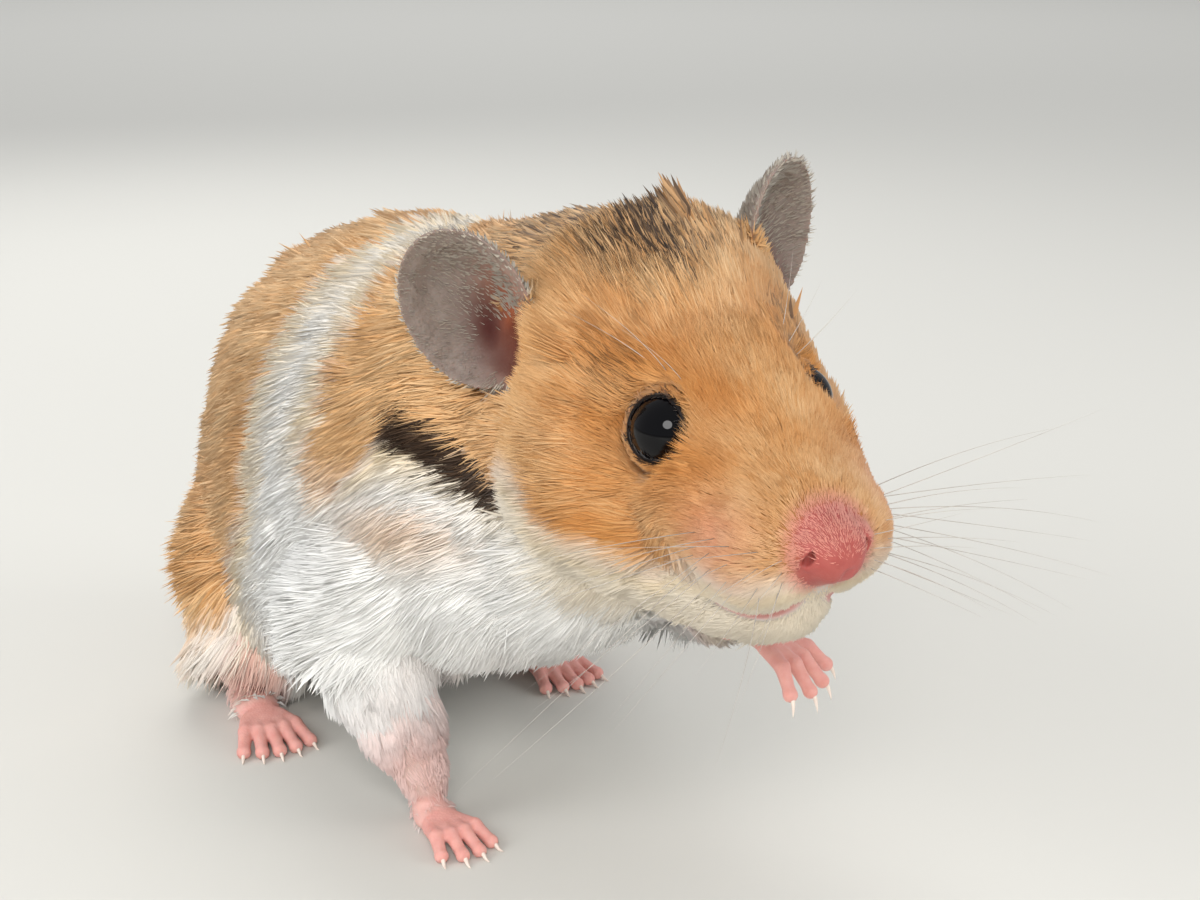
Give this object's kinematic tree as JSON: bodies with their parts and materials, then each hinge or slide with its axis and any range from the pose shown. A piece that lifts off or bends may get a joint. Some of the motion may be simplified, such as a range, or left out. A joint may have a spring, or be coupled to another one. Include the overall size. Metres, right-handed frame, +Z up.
{
  "type": "syrian hamster",
  "caption": "Life-size still model of a young golden hamster with a white band, standing with its left forepaw lifted and its head turned a little to its right.",
  "frame": {"origin": "on the floor, under the middle of the animal's overall box", "axes": "+Z up; the animal faces -Y and its left side is +X"},
  "size_m": [0.0528, 0.118, 0.0708],
  "materials": {
    "golden_coat": "soft dense fur, golden on the back and head, over a white belly and band",
    "white_coat": "soft white fur of the belly, chest, chin and legs",
    "bare_skin": "bare pink skin of the nose, paws and tail, slightly moist",
    "ear_skin": "thin grey-brown ear skin with a fine down",
    "eye": "wet, glossy black eye"
  },
  "bodies": {
    "root": {"rump": "golden_coat", "trunk": "golden_coat", "shoulders": "golden_coat", "neck": "golden_coat", "head": "golden_coat", "lower_jaw": "white_coat", "nose": "bare_skin", "tail": "bare_skin", "ear_left": "ear_skin", "ear_right": "ear_skin", "eye_left": "eye", "eye_right": "eye", "upper_arm_right": "white_coat", "forearm_right": "white_coat", "hand_right": "bare_skin", "upper_arm_left": "white_coat", "forearm_left": "white_coat", "hand_left": "bare_skin", "thigh_right": "golden_coat", "shank_right": "white_coat", "foot_right": "bare_skin", "thigh_left": "golden_coat", "shank_left": "white_coat", "foot_left": "bare_skin"}
  },
  "joints": []
}
